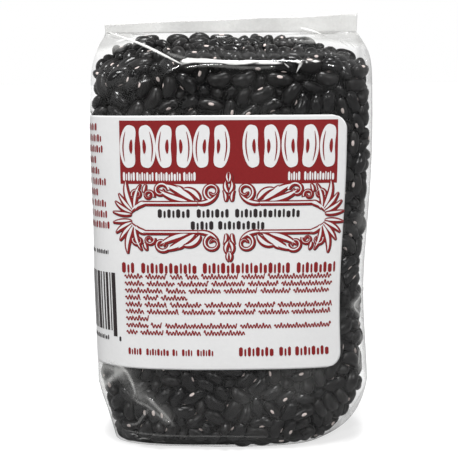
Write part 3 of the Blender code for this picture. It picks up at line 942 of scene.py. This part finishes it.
def tinted(name, mottle, colour, roughness, scale, depth, bump=0.0, specular=0.5):
    """A Principled finish whose colour is multiplied by the mottle's value and whose bump follows its
    height."""
    made = bpy.data.materials.new(name)
    made.use_nodes = True
    nodes, links = made.node_tree.nodes, made.node_tree.links
    shader = nodes["Principled BSDF"]
    shader.inputs["Roughness"].default_value = roughness
    shader.inputs["Specular IOR Level"].default_value = specular
    grain = nodes.new("ShaderNodeGroup")
    grain.node_tree = mottle
    grain.inputs["Scale"].default_value = scale
    grain.inputs["Depth"].default_value = depth
    tint = nodes.new("ShaderNodeMix")
    tint.data_type = "RGBA"
    tint.blend_type = "MULTIPLY"
    tint.inputs["Factor"].default_value = 1.0
    tint.inputs[6].default_value = (*colour, 1.0)
    links.new(grain.outputs["Value"], tint.inputs[7])
    links.new(tint.outputs[2], shader.inputs["Base Color"])
    if bump:
        relief = nodes.new("ShaderNodeBump")
        relief.inputs["Strength"].default_value = bump
        relief.inputs["Distance"].default_value = 0.0003
        links.new(grain.outputs["Height"], relief.inputs["Height"])
        links.new(relief.outputs["Normal"], shader.inputs["Normal"])
    return made


def bean_coat(mottle):
    """The beans' skin: near black, a little browner or greyer from bean to bean by their tone, with a
    satin shine."""
    made = tinted("bean_coat", mottle, (0.018, 0.016, 0.017), 0.30, 900.0, 0.5, 0.25, 0.30)
    nodes, links = made.node_tree.nodes, made.node_tree.links
    shader = nodes["Principled BSDF"]
    tone = nodes.new("ShaderNodeAttribute")
    tone.attribute_name = "tone"
    shade = nodes.new("ShaderNodeMix")
    shade.data_type = "RGBA"
    shade.inputs[6].default_value = (0.001, 0.001, 0.0015, 1.0)
    shade.inputs[7].default_value = (0.010, 0.009, 0.009, 1.0)
    links.new(tone.outputs["Fac"], shade.inputs["Factor"])
    links.new(shade.outputs[2], next(n for n in nodes if n.type == "MIX" and n != shade).inputs[6])
    rough = nodes.new("ShaderNodeMapRange")
    rough.inputs["To Min"].default_value = 0.20
    rough.inputs["To Max"].default_value = 0.34
    links.new(tone.outputs["Fac"], rough.inputs["Value"])
    links.new(rough.outputs["Result"], shader.inputs["Roughness"])
    return made


def clear_film():
    """The film: clear with mirror gloss by Fresnel, and clouded to a pale grey by its cloud attribute, which
    holds real cloudiness as well as painted sheen and painted highlight; the shade attribute darkens that cloud
    to grey as painted shade."""
    made = bpy.data.materials.new("clear_film")
    made.use_nodes = True
    nodes, links = made.node_tree.nodes, made.node_tree.links
    cloudy = nodes["Principled BSDF"]
    shade = nodes.new("ShaderNodeAttribute")
    shade.attribute_name = "shade"
    # Painted shade: the shade attribute turns the cloud from pale grey to dark grey.
    greyer = nodes.new("ShaderNodeMix")
    greyer.data_type = "RGBA"
    greyer.inputs[6].default_value = (0.86, 0.86, 0.84, 1.0)
    greyer.inputs[7].default_value = (0.36, 0.36, 0.35, 1.0)
    links.new(shade.outputs["Fac"], greyer.inputs["Factor"])
    links.new(greyer.outputs[2], cloudy.inputs["Base Color"])
    cloudy.inputs["Roughness"].default_value = 0.25
    clear = nodes.new("ShaderNodeBsdfTransparent")
    gloss = nodes.new("ShaderNodeBsdfGlossy")
    gloss.inputs["Roughness"].default_value = 0.10
    edge = nodes.new("ShaderNodeFresnel")
    side = nodes.new("ShaderNodeNewGeometry")
    index = nodes.new("ShaderNodeMapRange")  # from inside the index is inverted, as a thin film reflects the same
    index.inputs["To Min"].default_value = 1.55
    index.inputs["To Max"].default_value = 1.0 / 1.55
    links.new(side.outputs["Backfacing"], index.inputs["Value"])
    links.new(index.outputs["Result"], edge.inputs["IOR"])
    sheen = nodes.new("ShaderNodeMixShader")
    shine = nodes.new("ShaderNodeAttribute")
    shine.attribute_name = "gloss"
    dimmed = nodes.new("ShaderNodeMath")
    dimmed.operation = "MULTIPLY"
    links.new(edge.outputs["Fac"], dimmed.inputs[0])
    links.new(shine.outputs["Fac"], dimmed.inputs[1])
    links.new(dimmed.outputs[0], sheen.inputs["Fac"])
    links.new(clear.outputs[0], sheen.inputs[1])
    links.new(gloss.outputs[0], sheen.inputs[2])
    place = nodes.new("ShaderNodeTexCoord")
    noise = nodes.new("ShaderNodeTexNoise")
    noise.inputs["Scale"].default_value = 260.0
    noise.inputs["Detail"].default_value = 4.0
    links.new(place.outputs["Object"], noise.inputs["Vector"])
    relief = nodes.new("ShaderNodeBump")
    relief.inputs["Strength"].default_value = 0.12
    relief.inputs["Distance"].default_value = 0.0004
    links.new(noise.outputs["Fac"], relief.inputs["Height"])
    for shader in (gloss, cloudy):
        links.new(relief.outputs["Normal"], shader.inputs["Normal"])
    haze_and_painted_light = nodes.new("ShaderNodeAttribute")
    haze_and_painted_light.attribute_name = "haze_and_painted_light"
    uneven = nodes.new("ShaderNodeMapRange")
    uneven.inputs["From Min"].default_value = 0.3
    uneven.inputs["From Max"].default_value = 0.7
    uneven.inputs["To Min"].default_value = 0.75
    uneven.inputs["To Max"].default_value = 1.15
    links.new(noise.outputs["Fac"], uneven.inputs["Value"])
    strength = nodes.new("ShaderNodeMath")
    strength.operation = "MULTIPLY"
    strength.use_clamp = True
    links.new(haze_and_painted_light.outputs["Fac"], strength.inputs[0])
    links.new(uneven.outputs["Result"], strength.inputs[1])
    film = nodes.new("ShaderNodeMixShader")
    links.new(strength.outputs[0], film.inputs["Fac"])
    links.new(sheen.outputs[0], film.inputs[1])
    links.new(cloudy.outputs[0], film.inputs[2])
    links.new(film.outputs[0], nodes["Material Output"].inputs["Surface"])
    return made


# Building.


def from_line(points, start, end):
    """The distance of points from the straight line between two ends."""
    along = end - start
    share = np.clip(((points - start) @ along) / (along @ along), 0.0, 1.0)
    return np.linalg.norm(points - start - share[..., None] * along, axis=-1)


def facet_sheen(rows):
    """Painted sheen on the film's flat patches: each grid point takes the tone of the nearest of many seeds
    spread over the film."""
    points = rows.reshape(-1, 3)
    seeds = points[rng.integers(0, len(points), FACET_COUNT)]
    tones = rng.random(FACET_COUNT) ** 2.2
    reach = (points**2).sum(axis=1)[:, None] + (seeds**2).sum(axis=1)[None] - 2.0 * points @ seeds.T
    return tones[reach.argmin(axis=1)].reshape(rows.shape[:2])


def make_film(centres, turns, sizes, finish):
    """The film: the rest surface raised onto the beans' tops, stretched between them, and closed at both
    ends."""
    rows = film_rows()
    normals = grid_normals(rows)
    tops = bean_tops(rows, normals, centres, turns, sizes)
    x, y, z = rows[..., 0], rows[..., 1], rows[..., 2]
    count, columns = rows.shape[:2]
    number = np.arange(count)[:, None]
    first_header = count - HEADER_ROWS
    height = softened(stretched(np.maximum(np.clip(tops, None, 0.8), -1.3), 4), 1)
    height = height * smoothstep((first_header - number) / 6.0) * smoothstep(number / 6.0)
    beside_label = (z > LABEL_BOTTOM - 1.0) & (z < LABEL_TOP + 1.0)
    beside_label &= ((y < 0.0) & (x < LABEL_RIGHT + 0.8)) | ((x < -40.0) & (y < 18.0))
    height = np.where(beside_label, np.minimum(height, -0.10), height)
    surface = rows + normals * (height + FILM_LIFT)[..., None]
    surface[..., 2] = np.maximum(surface[..., 2], 0.05)
    surface[0, :, 2] = 0.05

    touching = softened(smoothstep((0.34 - np.abs(height - tops)) / 0.16), 1)
    # Painted sheen: each flat patch of the film gets grey cloud of its own strength, stronger where the film
    # touches a bean, in place of the light that flat film reflects.
    haze_and_painted_light = 0.001 + FACET_SHEEN * facet_sheen(rows) * (0.25 + 0.75 * touching)
    forward = np.where(np.abs(x) > 46.0, np.exp(-(((y + 13.0) / 6.0) ** 2)), y < 0.0)
    for start, end, width, strength in HAZE_PATCHES:
        away = from_line(np.stack([x, z], axis=-1), np.array(start), np.array(end))
        haze_and_painted_light = haze_and_painted_light + strength * np.exp(-((away / width) ** 2)) * forward
    on_top = smoothstep((normals[..., 2] - 0.35) / 0.3) * (number < first_header)
    # At the top's corners and along the right edge the film gets cloud, and the shade attribute below turns that
    # cloud dark grey: painted shade, where the lamps would light it nearly white.
    corners = np.maximum(smoothstep((x - 20.0) / 16.0), smoothstep((-x - 30.0) / 12.0))
    corners = corners * on_top * smoothstep((y + 2.0) / 10.0) * smoothstep((-tops - 0.8) / 1.6)
    haze_and_painted_light = haze_and_painted_light * (1.0 - 0.7 * on_top) + 0.70 * corners
    edge = smoothstep((x - 49.5) / 2.5) * smoothstep((z - 12.0) / 10.0) * (1.0 - on_top)
    edge = edge * np.exp(-(((y - 15.0) / 5.0) ** 2))
    haze_and_painted_light = haze_and_painted_light + EDGE_HAZE * edge
    haze_and_painted_light = np.where(number >= first_header, HEADER_HAZE, np.clip(haze_and_painted_light, 0.0, 0.9))
    gloss = 1.0 - 0.85 * on_top * smoothstep((y + 14.0) / 6.0)
    gloss = gloss * (1.0 - 0.65 * smoothstep((-x - 20.0) / 8.0) * smoothstep((z - 128.0) / 8.0))
    gloss = np.where(number > first_header - 4, 0.25 * (number > first_header + 1), gloss)

    middle = np.array([[-BASE_SHIFT, 0.0, 0.05]])
    step = np.arange(columns)
    faces = [grid_faces(count, columns, True)]
    faces.append(np.column_stack([np.full(columns, count * columns), (step + 1) % columns, step]))
    # Along the top edge, points at equal steps from either end of the slit face each other across it.
    last = (count - 1) * columns
    quarter = columns // 4
    for end in (quarter, 3 * quarter):
        for k in range(quarter):
            corner = [(end - k - 1) % columns, (end - k) % columns, (end + k) % columns,
                      (end + k + 1) % columns]
            corner = corner[:1] + corner[2:] if k == 0 else corner
            faces.append(last + np.array([corner]))
    piece = new_piece("film", np.concatenate([surface.reshape(-1, 3), middle]), faces, finish)
    # The shade attribute is painted shade: it darkens the cloud's grey at the top's corners and along the right
    # edge.
    for name, values in (("haze_and_painted_light", haze_and_painted_light), ("gloss", gloss), ("shade", np.maximum(corners, 0.7 * edge))):
        add_attribute(piece, name, np.append(values.ravel(), 0.0))
    return piece, surface, normals


def beside_film(surface, normals, path):
    """Where a fold's points lie: each (x, z) is put on the film's front, at the mean of the five nearest
    grid points."""
    facing = normals[..., 1] < -0.12
    points, outward = surface[facing], normals[facing]
    away = ((points[None, :, 0] - path[:, None, 0]) ** 2 + (points[None, :, 2] - path[:, None, 1]) ** 2)
    near = np.argpartition(away, 5, axis=1)[:, :5]
    deep = points[near][..., 1].mean(axis=1)
    return np.column_stack([path[:, 0], deep, path[:, 1]]), outward[near].mean(axis=1)


def smooth_path(knots, count):
    """A smooth path of points through a fold's knots, at even shares of its length."""
    knots = np.array(knots, float)
    walked = np.concatenate([[0.0], np.cumsum(np.linalg.norm(np.diff(knots, axis=0), axis=1))])
    places = np.linspace(0.0, walked[-1], count)
    return np.column_stack([through(places, walked, knots[:, axis]) for axis in range(knots.shape[1])])


def make_folds(surface, normals, finish):
    """The film's sharp folds: ribbons with a tent-shaped profile, cloudy along the ridge and clear at their
    edges; on the shoulder, the top crease and the header's right end that cloud is a painted highlight."""
    across = np.linspace(-1.0, 1.0, 9)
    points, faces, haze_and_painted_light, count = [], [], [], 0
    for knots, widths, lift, strength, edge in FOLDS:
        steps = 12 + int(1.6 * np.linalg.norm(np.diff(np.array(knots, float), axis=0), axis=1).sum())
        path = smooth_path(knots, steps)
        if path.shape[1] == 2:
            path, outward = beside_film(surface, normals, path)
        else:
            outward = np.tile(CREASE_OUTWARD, (steps, 1))
        share = np.linspace(0.0, 1.0, steps)
        width = np.interp(share, np.linspace(0.0, 1.0, len(widths)), widths)
        ahead = np.gradient(path, axis=0)
        aside = np.cross(outward, ahead)
        aside /= np.linalg.norm(aside, axis=1, keepdims=True)
        outward = outward / np.linalg.norm(outward, axis=1, keepdims=True)
        tent = 1.0 - np.abs(across) ** edge
        ribbon = path[:, None] + aside[:, None] * (0.5 * width[:, None] * across)[..., None]
        ribbon = ribbon + outward[:, None] * (0.12 + lift * tent)[None, :, None]
        ends = smoothstep(np.minimum(share, 1.0 - share) * steps / 6.0)
        points.append(ribbon.reshape(-1, 3))
        faces.append(grid_faces(steps, len(across), False) + count)
        haze_and_painted_light.append((strength * tent[None, :] * (0.25 + 0.75 * ends[:, None])).ravel())
        count += steps * len(across)
    piece = new_piece("film_folds", np.concatenate(points), faces, finish)
    add_attribute(piece, "haze_and_painted_light", np.concatenate(haze_and_painted_light))
    add_attribute(piece, "gloss", np.full(count, 0.5))
    add_attribute(piece, "shade", np.zeros(count))
    return piece


def make_painted_shade_core(finish):
    """The dark heart of the pile, under the outer beans: rings of the pile drawn in by two beans' thickness, a
    matte near-black sheet of painted shade, whose plug at the base paints the shadow in the film's tuck under the
    bag."""
    deepest = SHELL_DEPTH - 2.2
    columns = 64
    angle = np.linspace(0.0, 2.0 * math.pi, columns, endpoint=False) + 0.5 * math.pi
    rows = []
    for height in (*np.linspace(0.5, deepest, 16)[:-1], *np.linspace(deepest, 150.0, 40)):
        inset = SHADE_PLUG_INSET + (deepest - SHADE_PLUG_INSET) * smoothstep((height - SHADE_PLUG_HEIGHT) / 3.5)
        centre, half_width, half_depth, squareness = pile_sizes(height)
        a, b = half_width - inset, half_depth - inset
        x = centre + a * np.sign(np.cos(angle)) * np.abs(np.cos(angle)) ** (2.0 / squareness)
        y = b * np.sign(np.sin(angle)) * np.abs(np.sin(angle)) ** (2.0 / squareness)
        z = np.minimum(height, pile_top(x, y) - deepest)
        rows.append(np.column_stack([x, y, z]))
    rows = np.array(rows)
    ends = np.array([rows[0].mean(axis=0), rows[-1].mean(axis=0)])
    count = rows.shape[0] * columns
    step = np.arange(columns)
    last = count - columns
    base = np.column_stack([np.full(columns, count), (step + 1) % columns, step])
    lid = np.column_stack([np.full(columns, count + 1), last + step, last + (step + 1) % columns])
    return new_piece("bean_core_painted_shade", np.concatenate([rows.reshape(-1, 3), ends]),
                     [grid_faces(rows.shape[0], columns, True), base, lid], finish)


def pale_floor():
    """The floor: pale to the camera, and dimmer to everything else, so that it lights the bag's front only
    a little."""
    made = bpy.data.materials.new("pale_floor")
    made.use_nodes = True
    nodes, links = made.node_tree.nodes, made.node_tree.links
    seen = nodes["Principled BSDF"]
    seen.inputs["Base Color"].default_value = (0.35, 0.35, 0.35, 1.0)
    seen.inputs["Roughness"].default_value = 0.9
    seen.inputs["Emission Color"].default_value = (1.0, 1.0, 1.0, 1.0)
    seen.inputs["Emission Strength"].default_value = 0.66
    dim = nodes.new("ShaderNodeBsdfDiffuse")
    dim.inputs["Color"].default_value = (0.25, 0.25, 0.25, 1.0)
    path = nodes.new("ShaderNodeLightPath")
    choose = nodes.new("ShaderNodeMixShader")
    links.new(path.outputs["Is Camera Ray"], choose.inputs["Fac"])
    links.new(dim.outputs[0], choose.inputs[1])
    links.new(seen.outputs[0], choose.inputs[2])
    links.new(choose.outputs[0], nodes["Material Output"].inputs["Surface"])
    return made


def make_world():
    """The room: white to the camera; to everything else bright on both hands, dim in front and pale
    behind."""
    world = bpy.data.worlds.new("white_room")
    bpy.context.scene.world = world
    world.use_nodes = True
    nodes, links = world.node_tree.nodes, world.node_tree.links
    seen = nodes["Background"]
    seen.inputs["Color"].default_value = (1.0, 1.0, 1.0, 1.0)
    lit = nodes.new("ShaderNodeBackground")
    place = nodes.new("ShaderNodeTexCoord")
    parts = nodes.new("ShaderNodeSeparateXYZ")
    links.new(place.outputs["Generated"], parts.inputs[0])
    sides = nodes.new("ShaderNodeValToRGB")
    stops = ((0.0, 0.60), (0.30, 0.66), (0.38, 0.12), (0.62, 0.09), (0.70, 0.50), (1.0, 0.43))
    while len(sides.color_ramp.elements) < len(stops):
        sides.color_ramp.elements.new(0.5)
    for element, (position, grey) in zip(sides.color_ramp.elements, stops):
        element.position = position
        element.color = (grey, grey, grey, 1.0)
    half = nodes.new("ShaderNodeMapRange")
    half.inputs["From Min"].default_value = -1.0
    links.new(parts.outputs["X"], half.inputs["Value"])
    links.new(half.outputs["Result"], sides.inputs["Fac"])
    behind = nodes.new("ShaderNodeMapRange")
    behind.inputs["From Min"].default_value = 0.70
    behind.inputs["From Max"].default_value = 0.95
    links.new(parts.outputs["Y"], behind.inputs["Value"])
    room = nodes.new("ShaderNodeMix")
    room.data_type = "RGBA"
    room.inputs[7].default_value = (0.30, 0.30, 0.30, 1.0)
    links.new(behind.outputs["Result"], room.inputs["Factor"])
    links.new(sides.outputs["Color"], room.inputs[6])
    links.new(room.outputs[2], lit.inputs["Color"])
    path = nodes.new("ShaderNodeLightPath")
    choose = nodes.new("ShaderNodeMixShader")
    links.new(path.outputs["Is Camera Ray"], choose.inputs["Fac"])
    links.new(lit.outputs[0], choose.inputs[1])
    links.new(seen.outputs[0], choose.inputs[2])
    links.new(choose.outputs[0], nodes["World Output"].inputs["Surface"])


CAMERA_PLACE = np.array([-1.27, -350.0, 140.7])
CAMERA_PITCH = 9.24  # degrees below level
CAMERA_ROLL = -0.0062
CAMERA_LENS = 70.35


def make_stage():
    """A pale floor, white soft lamps, an overhead sun and the camera."""
    floor = bpy.data.meshes.new("floor")
    floor.from_pydata([(-90, -90, 0), (90, -90, 0), (90, 90, 0), (-90, 90, 0)], [], [(0, 1, 2, 3)])
    ground = bpy.data.objects.new("floor", floor)
    bpy.context.scene.collection.objects.link(ground)
    floor.materials.append(pale_floor())

    lamps = (
        ("left_key", (-0.35, -0.85, 0.75), (0.15, 0.15), 3.3),
        ("right_key", (0.45, -0.80, 0.62), (0.12, 0.12), 1.8),
    )
    for name, place, size, power in lamps:
        light = bpy.data.lights.new(name, "AREA")
        light.shape = "ELLIPSE"
        light.size, light.size_y = size
        light.energy = power
        lamp = bpy.data.objects.new(name, light)
        lamp.location = place
        towards = np.array([0.0, 0.0, 0.09]) - np.array(place)
        lamp.rotation_euler = Matrix(look_axes(towards)).to_euler()
        bpy.context.scene.collection.objects.link(lamp)

    light = bpy.data.lights.new("overhead", "SUN")
    light.energy = 3.6
    light.angle = math.radians(14.0)
    lamp = bpy.data.objects.new("overhead", light)
    lamp.rotation_euler = Matrix(look_axes(np.array([0.02, 0.22, -1.0]))).to_euler()
    bpy.context.scene.collection.objects.link(lamp)

    eye = bpy.data.cameras.new("camera")
    eye.lens = CAMERA_LENS
    eye.sensor_width = 36.0
    camera = bpy.data.objects.new("camera", eye)
    camera.location = (CAMERA_PLACE + MIDDLE) * MM
    tilted = Matrix.Rotation(math.radians(90.0 - CAMERA_PITCH), 3, "X")
    camera.rotation_euler = (tilted @ Matrix.Rotation(CAMERA_ROLL, 3, "Z")).to_euler()
    bpy.context.scene.collection.objects.link(camera)
    bpy.context.scene.camera = camera
    bpy.context.scene.view_settings.view_transform = "Standard"


def look_axes(towards):
    """The turn of a lamp that shines along a direction: its -Z lies along it."""
    back = -towards / np.linalg.norm(towards)
    side = np.cross((0.0, 0.0, 1.0), back) if abs(back[2]) < 0.99 else np.array([1.0, 0.0, 0.0])
    side /= np.linalg.norm(side)
    return np.column_stack([side, np.cross(back, side), back]).tolist()


def main():
    """Builds every piece and the stage."""
    make_stage()
    make_world()
    mottle = fine_mottle()
    coat = bean_coat(mottle)
    finishes = {
        "paper": tinted("label_paper", mottle, (0.82, 0.82, 0.82), 0.42, 700.0, 0.06, 0.10),
        "pale_ink": tinted("pale_ink", mottle, (0.82, 0.82, 0.82), 0.42, 700.0, 0.06),
        "red_ink": tinted("red_ink", mottle, (0.27, 0.016, 0.018), 0.40, 1500.0, 0.25, 0.0, 0.25),
        "dark_ink": tinted("dark_ink", mottle, (0.020, 0.012, 0.014), 0.40, 1500.0, 0.25),
        "eye": tinted("bean_eye", mottle, (0.86, 0.74, 0.70), 0.55, 1800.0, 0.35),
        # The pile's dark heart: near black and matte, painted shade.
        "core": tinted("bean_core_painted_shade", mottle, (0.004, 0.004, 0.004), 0.9, 300.0, 0.5, 0.0, 0.1),
    }
    centres, axes, sizes = settle_beans()
    turns = bean_frames(centres, axes)
    tones = rng.random(len(centres))
    depth, outward = pile_depth(centres)
    outer = depth < 5.2
    front = outward[:, 1] < 0.2
    for name, chosen, template in (
        ("beans_front", outer & front, bean_template(9, 12)),
        ("beans_back", outer & ~front, bean_template(9, 12)),
        ("beans_under", ~outer, bean_template(6, 8)),
    ):
        scatter(name, template, centres[chosen], turns[chosen], sizes[chosen], tones[chosen], coat)
    scatter("bean_eyes", eye_template(), centres[outer], turns[outer], sizes[outer], tones[outer],
            finishes["eye"])
    make_painted_shade_core(finishes["core"])
    film_finish = clear_film()
    film, surface, normals = make_film(centres, turns, sizes, film_finish)
    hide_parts("bean_bag")
    make_folds(surface, normals, film_finish)
    label = make_label(finishes["paper"])
    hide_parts("label")
    make_prints(finishes)


main()
